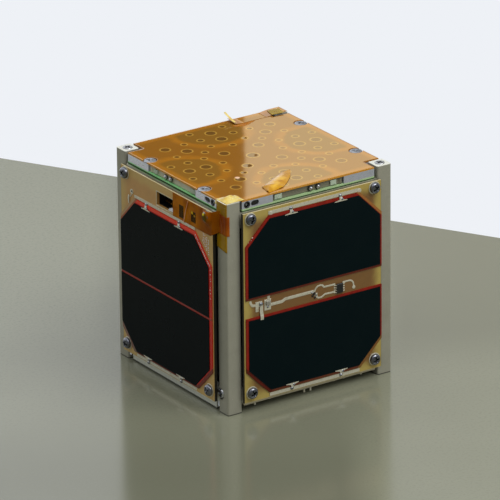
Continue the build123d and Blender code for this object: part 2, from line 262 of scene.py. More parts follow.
def anodised(name, dark, pale, foot):
    """Clear-anodised frame metal with drawn grain, paler on the top ends, and with painted shade along the
    foot.
    """
    p = Paint(name, metallic=0.35)
    grain = p.noise(0.25, 2, (1, 1, 14))
    cloud = p.noise(9, 4)
    speck = p.span(p.noise(0.6, 2), 0.66, 0.74)
    p.colours(
        p.mix(cloud, dark, pale),
        (p.times(grain, 0.25), (120, 119, 108)),
        (p.times(speck, 0.35), (196, 195, 184)),
        (p.span(p.z, BODY_TOP - 0.25, BODY_TOP - 0.05), (226, 225, 212)),
        # painted shade: dark along the foot, standing in for the contact shadow
        (p.span(p.z, foot + 0.60, foot + 0.35, 0.0, 0.9), (36, 37, 30)),
    )
    p.gloss(grain, 0.40, 0.54)
    p.bump(grain, 0.012)
    return p.material


def laminate(name, across, inner, edge, cut):
    """Woven circuit laminate, darker over copper, clear along its edges. The inner part of its top and bottom
    faces and, on the brown laminates, its cut sides are painted dark as shade.
    """
    p = Paint(name, roughness=0.42, coat=0.25)
    u, depth = {"x": (p.x, p.y), "y": (p.y, p.x)}[across]
    outer = p.span(p.size(depth), PANEL_OUT - 0.85, PANEL_OUT - 0.65)
    wander = p.times(p.less(p.noise(7, 3), 0.5), 5.0)
    side = p.less(p.size(u), PANEL_HALF)
    rise = p.beyond(p.z, PANEL_FOOT, PANEL_TOP)
    inset = p.plus(p.most(side, rise), wander)
    weave = p.times(p.wave(0.42, across.upper()), p.wave(0.42, "Z"))
    p.colours(
        p.mix(p.noise(3, 4), inner, scaled(inner, 1.25)),
        (p.span(inset, -7.0, -1.5), edge),
        (p.times(weave, 0.16), (214, 190, 128)),
        (p.specks(16, 3, 0.52, 0.75, 0.30), (120, 96, 44)),
        # painted shade: top and bottom faces dark in their inner part, pale in their outer part
        (p.span(rise, -0.12, -0.04), p.mix(outer, (84, 74, 44), (206, 190, 146))),
        # cut sides, painted dark as shade on the brown laminates
        (p.span(side, -0.12, -0.04), cut),
    )
    p.bump(weave, 0.015)
    return p.material


def red_backing(name, side, corners, lines):
    """Red sheet round the cells, with other colours past some cropped corners and along some lines, among
    them painted shade and a painted highlight. It is painted brighter on the left side as painted light.

    A corner is (hand, rise, start past the crop, share, colour), a line is (z, half height, share, colour).
    """
    p = Paint(name, roughness=0.22, specular=0.3)
    cells, core = f"solar_cells_{side}", middle(f"solar_cells_{side}")
    reach = high(cells) - core
    if side == "front":
        u = p.times(p.x, p.math("SIGN", p.times(p.y, -1.0)))
        core_u, half = core.x, reach.x
    else:
        u = p.times(p.y, p.math("SIGN", p.x))
        core_u, half = -core.y, reach.y
    across, rise = p.less(u, core_u), p.less(p.z, core.z)
    crop = half + reach.z - CELL_CROP
    steps = [
        p.mix(p.noise(4, 4), (102, 17, 8), (156, 29, 16)),
        (p.specks(1.1, 3, 0.62, 0.75, 0.25), (206, 66, 48)),
        # painted light: brighter red on the left side
        (p.span(p.x, 1.0 - PANEL_OUT, 0.5 - PANEL_OUT, 0.0, 0.6), (222, 32, 16)),
        (p.span(p.z, 10.2, 9.6, 0.0, 0.75), (84, 56, 34)),
    ]
    for z, tall, share, colour in lines:
        near = p.size(p.less(p.z, z))
        steps.append((p.span(near, tall + 0.1, tall - 0.1, 0.0, share), colour))
    for hand, up_down, begin, share, colour in corners:
        past = p.plus(p.times(across, hand), p.times(rise, up_down))
        steps.append((p.span(past, crop + begin, crop + begin + 0.6, 0.0, share), colour))
    p.colours(*steps)
    p.relief(1.6, 3, 0.14)
    return p.material


def cell_glass():
    p = Paint("cell_glass", roughness=0.22, specular=0.04)
    cloud = p.noise(14, 3)
    fingers = p.span(p.wave(1.0, "Z"), 0.86, 0.98)
    p.colours(
        p.mix(cloud, (6, 18, 21), (10, 22, 23)),
        (p.times(fingers, 0.30), (20, 29, 31)),
        # painted shade: the cells darker on the left side
        (p.span(p.x, 1.0 - CELL_OUT, 0.5 - CELL_OUT, 0.0, 0.85), (4, 10, 12)),
    )
    p.gloss(cloud, 0.18, 0.30)
    p.relief(22, 2, 0.05)
    return p.material


def bright_metal(name, dark, pale, roughness):
    p = Paint(name, roughness=roughness, metallic=1.0)
    grain = p.noise(0.22, 3, (1, 1, 5))
    p.colours(
        p.mix(p.noise(1.4, 3), dark, pale),
        (p.times(grain, 0.25), scaled(dark, 0.6)),
    )
    p.gloss(grain, roughness * 0.8, roughness * 1.3)
    p.bump(grain, 0.01)
    return p.material


def green_board():
    """Circuit board edge: pale foot, dark core and a green top layer, with paler, brighter green layers on
    the left side as painted light.
    """
    p = Paint("green_board", roughness=0.35, coat=0.4)
    level = p.line(p.z, BOARD_LOW, BOARD_HIGH)
    layers = p.ramp(level, (0.0, (170, 176, 140)), (0.16, (60, 84, 52)), (0.55, (176, 206, 150)))
    # painted light: a paler, brighter copy of the layers for the left side
    left_lit_layers = p.ramp(level, (0.0, (150, 216, 144)), (0.20, (30, 40, 26)), (0.68, (160, 240, 160)))
    off_left = p.span(p.x, 1.0 - COVER_HALF, 2.0 - COVER_HALF)
    p.colours(
        p.mix(off_left, left_lit_layers, layers),
        (p.specks(1.5, 3, 0.5, 0.75, 0.20), (60, 110, 66)),
    )
    p.relief(0.5, 3, 0.02)
    return p.material


def block_metal():
    p = Paint("block_metal", roughness=0.34, metallic=0.35, coat=0.3)
    tooling = p.noise(0.3, 2, (9, 9, 1))
    p.colours(
        p.mix(p.noise(5, 3), (168, 172, 180), (192, 195, 202)),
        (p.times(tooling, 0.22), (128, 131, 138)),
        # painted light: the blocks paler on the left side
        (p.span(p.x, 0.9 - COVER_HALF, 0.4 - COVER_HALF, 0.0, 0.85), (236, 240, 252)),
    )
    p.gloss(tooling, 0.26, 0.42)
    p.bump(tooling, 0.015)
    return p.material


def mottled(name, dark, pale, cloud, relief, speck=None, gloss=None, **look):
    """Plain material: two colours in a cloud of noise, specks of a third, a gloss and a fine relief."""
    p = Paint(name, **look)
    steps = [p.mix(p.noise(*cloud), dark, pale)]
    if speck:
        *place, colour = speck
        steps.append((p.specks(*place), colour))
    if gloss:
        *place, smooth, rough = gloss
        p.gloss(p.noise(*place), smooth, rough)
    p.colours(*steps)
    p.relief(*relief)
    return p.material


def cover_pattern(name, roughness, ior):
    """Amber film over the perforated cover: its holes painted dark as the shade in them, with pale rings and
    darker round fields. How strongly the holes, rings and fields show changes across a line, a painted
    reflection of the room, and one hole holds a pale painted reflection.
    """
    p = Paint(name, roughness=roughness, ior=ior)
    wide, deep = p.size(p.x), p.size(p.y)
    border, inner = p.most(wide, deep), p.least(wide, deep)
    gaps = (p.less(p.distance(border, inner, x, y), radius) for x, y, radius in COVER_HOLES)
    edge = reduce(p.least, gaps)
    shake = p.times(p.less(p.noise(9, 3), 0.5), 5.0)
    field = p.plus(p.distance(border, inner, 40, 0), shake)
    disc = p.span(field, 19.5, 16.5)
    outside = p.span(field, 20.0, 24.5)
    ring = p.times(p.span(edge, -0.05, 0.2), p.span(edge, 1.0, 0.55))
    reflection_line = p.toward(0.83, -0.56)

    # painted reflection: values that change across the line where the room's bright and dark parts meet in
    # the film
    def reflection_halves(left, right):
        return p.span(reflection_line, -3.0, 5.0, left, right)

    shown = reflection_halves(0.85, 0.78)
    p.colours(
        p.mix(p.noise(12, 4), (164, 105, 26), (186, 124, 38)),
        (p.times(disc, shown), (138, 98, 36)),
        (p.times(outside, shown), (148, 98, 33)),
        (p.span(border, 44.0, 47.5, 0.0, 0.8), (184, 120, 32)),
        (p.times(ring, reflection_halves(0.65, 0.6)), (206, 162, 70)),
        # holes painted dark as the shade in them
        (p.span(edge, 0.15, -0.3, 0.0, reflection_halves(0.75, 0.36)), (104, 72, 32)),
        (p.specks(2.6, 4, 0.56, 0.78, 0.30), (152, 94, 24)),
        (p.span(border, COVER_HALF - 0.7, COVER_HALF - 0.2, 0.0, 0.4), (214, 158, 56)),
        # painted reflection: a pale disc over one hole
        (p.span(p.distance(p.x, p.y, -24.1, -21.5), 1.5, 1.0), (250, 206, 166)),
    )
    p.shader.inputs["Specular Tint"].default_value = (1.0, 0.88, 0.66, 1.0)
    return p.material


def tape(name, thin, thick, alpha, specular=0.2, shade=None):
    """Polyimide tape: clear amber, darker in its folds. A shade colours the flap's foot, edge and tip, partly
    its doubled fold and partly painted shade.
    """
    p = Paint(name, roughness=0.16, specular=specular, alpha=alpha)
    steps = [
        p.mix(p.span(p.noise(6, 3), 0.35, 0.7), thin, thick),
        (p.specks(2.2, 2, 0.66, 0.80, 0.25), scaled(thin, 1.5)),
    ]
    if shade:
        # the flap's foot, tip and lower edge: partly doubled tape and partly painted shade
        across = p.toward(-0.581, 0.814)
        ends = p.most(p.span(p.x, -18.5, -20.5), p.span(p.x, -5.5, -2.0))
        steps.append((p.most(ends, p.span(across, -26.2, -28.2, 0.0, 0.8)), shade))
    p.colours(*steps)
    p.relief(4.0, 2, 0.05)
    return p.material


def port_tape():
    """Tape on the left panel: the ports show through, painted dark as the shade in them, and so does the
    screw under it, with painted highlights over them.
    """
    p = Paint("tape_port", roughness=0.20, specular=0.04)
    u = p.times(p.y, -1.0)
    port_shade = 0.0
    for u0, u1, z0, z1 in ((11.9, 16.0, 95.9, 102.7), (22.6, 26.9, 96.9, 102.6)):
        outside = p.most(p.beyond(u, u0, u1), p.beyond(p.z, z0, z1))
        port_shade = p.most(port_shade, p.span(outside, 0.15, -0.15))

    def spot(at_u, at_z, radius, soft):
        return p.span(p.distance(u, p.z, at_u, at_z), radius, radius - soft)

    p.colours(
        p.mix(p.span(p.noise(6, 3), 0.35, 0.7), (184, 110, 6), (150, 82, 4)),
        (p.span(u, 25.0, 33.0, 0.0, 0.7), (132, 66, 4)),
        # painted shade in the ports
        (p.times(port_shade, 0.9), (50, 40, 16)),
        (spot(SCREW_X, SCREW_LEVELS[1], 3.0, 1.6), (84, 68, 12)),
        # painted highlights: a glint over the screw and over the second port's contacts
        (spot(SCREW_X - 0.8, SCREW_LEVELS[1] + 1.6, 1.3, 1.0), (226, 206, 44)),
        (spot(23.6, 101.8, 1.2, 0.8), (236, 190, 40)),
        (spot(25.6, 100.6, 0.9, 0.7), (200, 150, 30)),
    )
    covered = p.times(spot(SCREW_X, SCREW_LEVELS[1], 4.6, 1.2), 0.08)
    p.set("Alpha", p.plus(p.span(port_shade, 0.0, 1.0, 0.93, 0.70), covered))
    p.relief(4.0, 2, 0.05)
    return p.material


STEEL = bright_metal("steel", (150, 151, 154), (196, 197, 200), 0.24)
DULL_STEEL = bright_metal("dull_steel", (138, 140, 144), (176, 178, 182), 0.38)
SCREW_STEEL = bright_metal("screw_steel", (70, 71, 77), (158, 160, 168), 0.13)
SOLDER = bright_metal("solder_metal", (104, 106, 112), (198, 200, 206), 0.15)
STUD_STEEL = bright_metal("stud_steel", (176, 178, 182), (232, 233, 236), 0.22)
DARK_STEEL = bright_metal("dark_steel", (58, 60, 64), (112, 114, 118), 0.22)
GOLD = bright_metal("gold_contact", (176, 128, 40), (226, 182, 84), 0.25)
ANODISED = anodised("anodised_frame", (157, 155, 138), (177, 174, 156), 0.0)
ANODISED_PALE = anodised("anodised_bar", (222, 224, 208), (240, 241, 226), low("side_bar_left_low").z)
LAMINATE_FRONT = laminate("laminate_front", "x", (106, 70, 26), (170, 148, 72), (30, 24, 12))
LAMINATE_SIDE = laminate("laminate_side", "y", (178, 132, 70), (192, 158, 88), (26, 20, 11))
PALE = laminate("laminate_pale", "y", (190, 180, 146), (200, 190, 158), (200, 190, 158))
RED = red_backing("red_backing", "front", (
    (-1, -1, -0.3, 0.9, (82, 23, 8)),
    (1, 1, 0.2, 0.9, (156, 104, 50)),
    (1, -1, 0.0, 0.9, (122, 86, 40)),
), (
    # painted shade along the lower edge of the upper cell
    (61.6, 0.6, 0.85, (88, 36, 20)),
))
RED_SIDE = red_backing("red_side", "left", (
    (-1, 1, -0.3, 0.85, (158, 92, 58)),
    (-1, 1, 1.2, 1.0, (176, 142, 98)),
    (-1, -1, -0.2, 0.9, (118, 100, 84)),
    (1, -1, 0.6, 0.85, (88, 36, 16)),
    # painted highlight along the upper right cropped corner
    (1, 1, -0.2, 0.3, (240, 70, 52)),
), (
    (49.75, 0.65, 0.8, (146, 46, 32)),
    (91.9, 0.9, 0.6, (255, 70, 26)),
))
CELL = cell_glass()
TIN_SPECK = (3.5, 3, 0.55, 0.72, 0.4, (158, 148, 120))
TIN_GLOSS = (0.8, 3, 0.26, 0.48)
TINNED = mottled(
    "tinned_copper", (190, 185, 162), (220, 216, 196), (1.2, 4), (0.9, 3, 0.08), TIN_SPECK, TIN_GLOSS,
    roughness=0.36, metallic=0.4,
)
BOARD = green_board()
BLOCK = block_metal()
CLEAR_LOOK = {"cloud": (0.8, 3), "relief": (0.5, 2, 0.03), "roughness": 0.16}
# white: the glue specks' own colour, and a painted highlight on the port latch and the bar ends
WHITE_AND_HIGHLIGHT = mottled("white_and_highlight", (216, 220, 230), (248, 250, 255), **CLEAR_LOOK)
GREY_CHIP = mottled("grey_chip", (120, 116, 104), (150, 146, 132), **CLEAR_LOOK)
CLEAR = mottled("clear_clip", (168, 188, 160), (214, 224, 204), alpha=0.75, **CLEAR_LOOK)
GLUE = mottled("glue", (226, 176, 160), (240, 214, 200), alpha=0.80, **CLEAR_LOOK)
DOOR_SPECK = (0.5, 2, 0.60, 0.72, 0.3, (150, 149, 134))
DOOR_LOOK = {"cloud": (6, 3), "relief": (0.4, 3, 0.02), "speck": DOOR_SPECK, "roughness": 0.30, "coat": 0.3}
DOOR = mottled("door_polymer", (96, 95, 80), (128, 124, 104), **DOOR_LOOK)
# painted light: a paler copy of the door material for the left door
DOOR_LEFT_LIT = mottled("door_left_lit", (176, 170, 146), (214, 206, 182), **DOOR_LOOK)
BLACK_SPECK = (0.3, 2, 0.64, 0.72, 0.4, (46, 46, 44))
BLACK = mottled(
    "black_plastic", (12, 12, 12), (22, 22, 21), (2, 3), (0.25, 3, 0.02), BLACK_SPECK, roughness=0.42
)
FILM = cover_pattern("cover_film", 0.022, 1.7)
COVER = cover_pattern("cover_board", 0.45, 1.5)
TAPE = tape("tape_single", (236, 184, 58), (186, 120, 22), 0.86, 0.3, (202, 142, 2))
TAPE_PORT = port_tape()
TAPE_OLIVE = tape("tape_olive", (168, 128, 16), (150, 108, 8), 0.85, 0.15)
TAPE_DOUBLE = tape("tape_double", (164, 84, 12), (134, 58, 6), 0.90, 0.15)
TAPE_YELLOW = tape("tape_yellow", (248, 226, 128), (226, 184, 58), 0.72, 0.6)
TAPE_PATCH = tape("tape_patch", (176, 146, 18), (154, 122, 8), 0.85, 0.2)
TAPE_SHADE = tape("tape_shade", (196, 122, 18), (180, 106, 12), 0.75, 0.05)
# pale pink, a painted highlight along the tape's edge
TAPE_EDGE_HIGHLIGHT = tape("tape_edge_highlight", (226, 168, 132), (206, 140, 100), 0.95, 0.3)
WRAP = mottled("battery_wrap", (60, 66, 72), (84, 90, 96), (4, 3), (1.2, 3, 0.05), roughness=0.5)

# Materials of the nodes, by how their names start; the first that fits counts
NODE_PAINT = (
    (STEEL, ("rail_plungers", "panel_standoffs", "hinge_pins", "antenna_blades")),
    (ANODISED, ("rail_", "rib_")),
    (ANODISED_PALE, "side_bar_"),
    (LAMINATE_FRONT, ("panel_front", "panel_back")),
    (LAMINATE_SIDE, "panel_"),
    (PALE, "base_panel"),
    (RED, ("cell_backing_front", "cell_backing_back")),
    (RED_SIDE, "cell_backing_"),
    (CELL, "solar_cells_"),
    (TINNED, ("bus_strips", "base_pins")),
    (BOARD, "antenna_board"),
    (BLOCK, "corner_block_"),
    (DOOR_LEFT_LIT, "antenna_door_left"),
    (DOOR, "antenna_door_"),
    (BLACK, ("service_connector", "side_connectors", "driver_chip")),
    (COVER, "top_cover"),
    (FILM, "cover_film"),
    (TAPE, "tape_strips"),
    (WRAP, "electronics_stack"),
)
# Nodes whose edges are eased, to catch the light as moulded and cut edges do
EASED = (
    (0.16, (
        "panel_front", "panel_right", "panel_back", "panel_left",
        "cell_backing_", "side_bar_", "antenna_door_", "corner_block_",
    )),
    (0.35, ("rail_front", "rail_back")),
)
for name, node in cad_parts.items():
    paint = next(material for material, starts in NODE_PAINT if name.startswith(starts))
    node.data.materials.clear()
    node.data.materials.append(paint)
    for width, starts in EASED:
        if name.startswith(starts):
            ease = node.modifiers.new("ease", "BEVEL")
            ease.width = width * MM
            ease.segments = 2
            ease.limit_method = "ANGLE"
            ease.angle_limit = math.radians(40)


# Shapes
def at(side, u, out, z):
    """Point u across a side, out from the middle and z up."""
    x, y = u, -out
    for _ in range(SIDES.index(side)):
        x, y = -y, x
    return Vector((x, y, z))


def on(side, u, out, z):
    """Point on a side, and the way out of it."""
    return at(side, u, out, z), at(side, 0, 1, 0)


def add_object(name, data):
    thing = bpy.data.objects.new(name, data)
    bpy.context.scene.collection.objects.link(thing)
    return thing


def piece(name, shape, material, body="bus", thickness=0.0):
    """Makes an object of a bmesh drawn in millimetres, on its body."""
    bmesh.ops.recalc_face_normals(shape, faces=shape.faces)
    mesh = bpy.data.meshes.new(name)
    shape.to_mesh(mesh)
    shape.free()
    mesh.transform(Matrix.Scale(MM, 4))
    mesh.materials.append(material)
    mesh.polygons.foreach_set("use_smooth", [True] * len(mesh.polygons))
    thing = add_object(name, mesh)
    mesh.set_sharp_from_angle(angle=math.radians(38))
    if thickness:
        skin = thing.modifiers.new("skin", "SOLIDIFY")
        skin.thickness = thickness * MM
        skin.offset = 1.0
    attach(thing, body)
    return thing


def tube(shape, rings):
    """Joins closed rings of points into a skin with two end faces."""
    rings = [[shape.verts.new(point) for point in ring] for ring in rings]
    for under, over in zip(rings, rings[1:]):
        for index, vert in enumerate(under):
            after = (index + 1) % len(under)
            shape.faces.new((vert, under[after], over[after], over[index]))
    shape.faces.new(rings[0][::-1])
    shape.faces.new(rings[-1])


def lathe(shape, base, axis, profile, segments=40, turn=0.0):
    """Turned form from (radius, height) rings; a radius may be a function of the angle."""
    axis = axis.normalized()
    first = axis.orthogonal().normalized()
    second = axis.cross(first)
    rings = []
    for radius, height in profile:
        ring = []
        for index in range(segments):
            angle = math.tau * index / segments
            r = radius(angle) if callable(radius) else radius
            arm = first * math.cos(angle + turn) + second * math.sin(angle + turn)
            ring.append(base + axis * height + arm * r)
        rings.append(ring)
    tube(shape, rings)


def cross_recess(arm, half_width):
    def radius(angle):
        turn = angle % (math.pi / 2)
        turn = min(turn, math.pi / 2 - turn)
        return min(arm / math.cos(turn), half_width / max(math.sin(turn), 0.001))
    return radius


# Shares of a pan head's radius and height, from its foot to the rim of its recess
PAN_HEAD = ((0.94, 0), (1, 0.10), (1, 0.42), (0.95, 0.66), (0.84, 0.86), (0.70, 0.97))


def pan_screw(shape, base, axis, radius, height):
    """Domed head with a cross recess."""
    profile = [(radius * wide, height * tall) for wide, tall in PAN_HEAD]
    profile.append((cross_recess(radius * 0.62, radius * 0.16), height))
    profile.append((cross_recess(radius * 0.40, radius * 0.10), height * 0.40))
    lathe(shape, base, axis, profile, 48, dice.uniform(0, math.tau))


def slab(shape, side, outline, near, far, bevel=0.08):
    """Raised flat shape with eased top edges, from a convex outline of (u, z) points."""
    middle_u = sum(u for u, _ in outline) / len(outline)
    middle_z = sum(z for _, z in outline) / len(outline)

    def inward(u, z):
        du, dz = middle_u - u, middle_z - z
        length = math.hypot(du, dz)
        return at(side, u + du / length * bevel, far, z + dz / length * bevel)

    tube(shape, (
        [at(side, u, near, z) for u, z in outline],
        [at(side, u, far - bevel * 0.7, z) for u, z in outline],
        [inward(u, z) for u, z in outline],
    ))


def rectangle(u0, u1, z0, z1):
    return ((u0, z0), (u1, z0), (u1, z1), (u0, z1))


def round_outline(u, z, radius, count=20):
    angles = [math.tau * index / count for index in range(count)]
    return [(u + radius * math.cos(angle), z + radius * math.sin(angle)) for angle in angles]


def track(shape, side, points, width, near, far):
    """Flat track along (u, z) points, with mitred bends and eased edges."""
    flat = [Vector(p) for p in points]
    left, right = [], []
    for index, point in enumerate(flat):
        before = (point - flat[index - 1]).normalized() if index else None
        after = (flat[index + 1] - point).normalized() if index + 1 < len(flat) else None
        way = ((before or after) + (after or before)).normalized()
        across = Vector((-way.y, way.x)) * width / 2
        if before and after:
            across /= max(0.5, way.dot(after))
        left.append(point + across)
        right.append(point - across)
    rounded = far - (far - near) * 0.35
    rows = []
    for a, b in zip(left, right):
        inner_a, inner_b = a.lerp(b, 0.12), b.lerp(a, 0.12)
        row = ((a, near), (a, rounded), (inner_a, far), (inner_b, far), (b, rounded), (b, near))
        rows.append([at(side, p.x, out, p.y) for p, out in row])
    tube(shape, rows)


def ribbon(shape, side, centre, rows, thickness, upright=True):
    """Bent strip from (z, out, half width) rows, centred on a u. Not upright, z and u change places."""
    rings = []
    for place, out, half in rows:
        top = out + thickness
        ends = ((centre - half, out), (centre - half, top), (centre + half, top), (centre + half, out))
        rings.append([at(side, p, d, place) if upright else at(side, place, d, p) for p, d in ends])
    tube(shape, rings)


def solder(shape, side, u, z, out, width, height, rise, seed):
    """Lump of solder, flat where it sits."""
    made = bmesh.ops.create_icosphere(shape, subdivisions=3, radius=1.0)
    for vert in made["verts"]:
        ball = vert.co.copy()
        swell = 1 + 0.22 * noise.noise(ball * 1.6 + Vector((seed, seed * 0.7, 0)))
        lift = max(ball.z, -0.15) * rise * swell
        vert.co = at(side, u + ball.x * width / 2 * swell, out + lift, z + ball.y * height / 2 * swell)


def sheet(name, place, columns, rows, material, thickness=TAPE_THICK):
    """Sheet of tape from place(s, t), with s and t from 0 to 1."""
    shape = bmesh.new()
    grid = []
    for j in range(rows + 1):
        grid.append([shape.verts.new(place(i / columns, j / rows)) for i in range(columns + 1)])
    for one, two in zip(grid, grid[1:]):
        for index in range(columns):
            shape.faces.new((one[index], one[index + 1], two[index + 1], two[index]))
    return piece(name, shape, material, thickness=thickness)


def along(points, s):
    """Point at share s along a polyline."""
    lengths = [(b - a).length for a, b in zip(points, points[1:])]
    goal = s * sum(lengths)
    for (a, b), length in zip(zip(points, points[1:]), lengths):
        if goal <= length or b is points[-1]:
            return a.lerp(b, min(1.0, goal / length))
        goal -= length


# Screws of the panels, frame, cover and base
UP, DOWN = Vector((0, 0, 1)), Vector((0, 0, -1))
WASHER_R, WASHER_T = 3.35, 0.35
WASHER = [(WASHER_R * r, WASHER_T * t) for r, t in ((0.97, 0), (1, 0.2), (1, 0.8), (0.95, 1), (0.5, 1))]
shape = bmesh.new()
pads = bmesh.new()
for side, u, z in product(SIDES, (-SCREW_X, SCREW_X), SCREW_LEVELS):
    lathe(pads, *on(side, u, PANEL_OUT, z), WASHER)
    pan_screw(shape, *on(side, u, PANEL_OUT + WASHER_T, z), 2.95, 1.9)
piece("panel_screws", shape, SCREW_STEEL)
piece("panel_washers", pads, TINNED)

shape = bmesh.new()
for side, u, z in product(FLANKS, (-FRAME_SCREW_U, FRAME_SCREW_U), FRAME_SCREW_LEVELS):
    pan_screw(shape, *on(side, u, FRAME_SCREW_SEAT, z), 2.85, 3.75)
piece("frame_screws", shape, STUD_STEEL)

shape = bmesh.new()
for x, y in TOP_SCREWS:
    pan_screw(shape, Vector((x, y, COVER_UNDER)), UP, 3.35, 0.95)
piece("cover_screws", shape, DULL_STEEL)

BASE_SCREW_X, BASE_SCREW_Y = 30.0, 45.1
shape = bmesh.new()
for x, y in product((-BASE_SCREW_X, BASE_SCREW_X), (-BASE_SCREW_Y, BASE_SCREW_Y)):
    pan_screw(shape, Vector((x, y, BASE_UNDER)), DOWN, 2.6, 1.3)
piece("base_screws", shape, SCREW_STEEL)

# Soldered tabs from the bus strips onto the cells: u of each side's tabs, and rows past the cells' edge
TABS = {"front": (-13.3, 16.7), "back": (-13.3, 16.7), "left": (-18.1, 11.9), "right": (-18.1, 11.9)}
TAB_ROWS = (
    (3.2, BUS_OUT + 0.02, 1.0), (2.2, BUS_OUT + 0.16, 0.85), (1.4, CELL_OUT - 0.05, 0.75),
    (0.5, CELL_OUT + 0.12, 0.9), (0.05, CELL_OUT + 0.05, 2.4),
    (-0.15, CELL_OUT + 0.01, 3.7), (-0.55, CELL_OUT + 0.01, 3.9),
)
ribbons = bmesh.new()
lumps = bmesh.new()
for side in SIDES:
    cells = f"solar_cells_{side}"
    for index, u in enumerate(TABS[side]):
        for sign, edge in ((1, high(cells).z), (-1, low(cells).z)):
            rows = [(edge + sign * past, out, half) for past, out, half in TAB_ROWS]
            ribbon(ribbons, side, u, rows, 0.06)
            solder(lumps, side, u, edge + sign * 2.5, BUS_OUT, 1.9, 1.8, 0.7, u + index)
            solder(lumps, side, u + 0.8, edge + sign * 0.5, CELL_OUT - 0.05, 1.7, 1.3, 0.35, u - index)
piece("cell_tabs", ribbons, TINNED)
piece("tab_solder", lumps, SOLDER)

# Tracks, pads and small components in the front panel's bare strip
TRACKS = (
    (1.3, ((-38.0, 60.3), (-37.7, 58.9), (-36.7, 57.6), (-34.4, 57.3))),
    (1.6, ((-25.8, 55.8), (-18.7, 55.8), (-16.9, 56.7), (-1.2, 56.7))),
    (0.9, ((0.8, 56.3), (1.7, 58.0), (2.9, 58.9), (4.6, 59.1), (5.8, 58.7), (6.6, 57.6), (13.4, 57.5))),
    (0.9, ((1.8, 54.5), (2.4, 53.1), (3.4, 52.5), (5.2, 52.5), (6.3, 53.1), (7.2, 53.6), (13.4, 53.4))),
    (0.8, ((18.0, 57.5), (22.4, 57.5), (23.7, 57.0), (24.6, 55.8), (24.9, 53.4))),
)
PADS = (
    rectangle(-34.8, -30.8, 56.2, 59.0),
    rectangle(-34.8, -33.0, 53.7, 56.3),
    rectangle(-29.5, -25.6, 53.3, 59.0),
    rectangle(-27.7, -26.2, 58.8, 60.9),
    rectangle(-1.5, 0.4, 55.6, 57.4),
    rectangle(1.0, 2.6, 53.8, 55.4),
    round_outline(24.9, 53.3, 0.95),
)
COPPER_OUT = PANEL_OUT + 0.16
shape = bmesh.new()
for width, points in TRACKS:
    track(shape, "front", points, width, PANEL_OUT, COPPER_OUT)
for outline in PADS:
    slab(shape, "front", outline, PANEL_OUT, COPPER_OUT + 0.02)
strap = (
    (58.2, COPPER_OUT, 0.9), (55.0, COPPER_OUT + 0.02, 0.95), (52.9, COPPER_OUT + 0.10, 0.95),
    (51.6, CELL_OUT - 0.10, 0.95), (50.5, CELL_OUT + 0.12, 0.95), (49.9, CELL_OUT + 0.03, 0.95),
    (49.2, CELL_OUT + 0.02, 0.90),
)
ribbon(shape, "front", -31.4, strap, 0.14)
piece("strip_tracks", shape, TINNED)

shape = bmesh.new()
for lump in (
    (-31.6, 57.5, COPPER_OUT, 2.4, 1.9, 0.8, 3),
    (-27.4, 55.0, COPPER_OUT, 1.4, 1.1, 0.4, 5),
    (-0.9, 56.4, COPPER_OUT, 1.1, 1.0, 0.6, 7),
    (1.7, 54.4, COPPER_OUT, 1.0, 0.9, 0.5, 9),
    (-0.6, 54.3, PANEL_OUT, 0.9, 0.9, 0.5, 13),
):
    solder(shape, "front", *lump)
piece("strip_solder", shape, SOLDER)

COMPONENTS = (
    (rectangle(0.0, 1.3, 55.0, 56.0), 0.6),
    (rectangle(-0.9, 0.2, 54.0, 54.9), 0.5),
    (rectangle(0.5, 1.5, 52.8, 53.6), 0.5),
)
shape = bmesh.new()
for outline, rise in COMPONENTS:
    slab(shape, "front", outline, PANEL_OUT + 0.1, PANEL_OUT + rise, 0.12)
piece("strip_components", shape, BLACK)
shape = bmesh.new()
slab(shape, "front", rectangle(-28.7, -26.2, 56.0, 58.2), PANEL_OUT + 0.1, PANEL_OUT + 0.9, 0.12)
piece("strip_diode", shape, GREY_CHIP)

# Driver chip with gull-wing leads
chip_u, _, chip_z = middle("driver_chip")
CHIP_HALF, CHIP_RISE, LEAD_PITCH = 1.9, 2.5, 1.27
body = bmesh.new()
outline = rectangle(chip_u - CHIP_HALF, chip_u + CHIP_HALF, chip_z - CHIP_RISE, chip_z + CHIP_RISE)
slab(body, "front", outline, PANEL_OUT + 0.12, PANEL_OUT + 0.95, 0.22)
dimple = ((0.42, 0), (0.42, 0.04), (0.30, 0.04), (0.26, 0.03))
lathe(body, *on("front", chip_u - 1.0, PANEL_OUT + 0.93, chip_z + 1.7), dimple, 24)
chip = piece("chip_body", body, BLACK)
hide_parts("driver_chip")
leads = bmesh.new()
for row in range(4):
    z = chip_z + (row - 1.5) * LEAD_PITCH
    for hand in (-1, 1):
        inner, knee, toe = (chip_u + hand * (CHIP_HALF + step) for step in (-0.05, 0.35, 1.25))
        rows = ((inner, 0.62), (inner + hand * 0.25, 0.60), (knee + hand * 0.12, 0.16), (toe, 0.12))
        ribbon(leads, "front", z, [(u, PANEL_OUT + out, 0.24) for u, out in rows], 0.14, upright=False)
        outline = rectangle(*sorted((knee, toe + hand * 0.2)), z - 0.3, z + 0.3)
        slab(leads, "front", outline, PANEL_OUT, PANEL_OUT + 0.13)
piece("chip_leads", leads, TINNED)

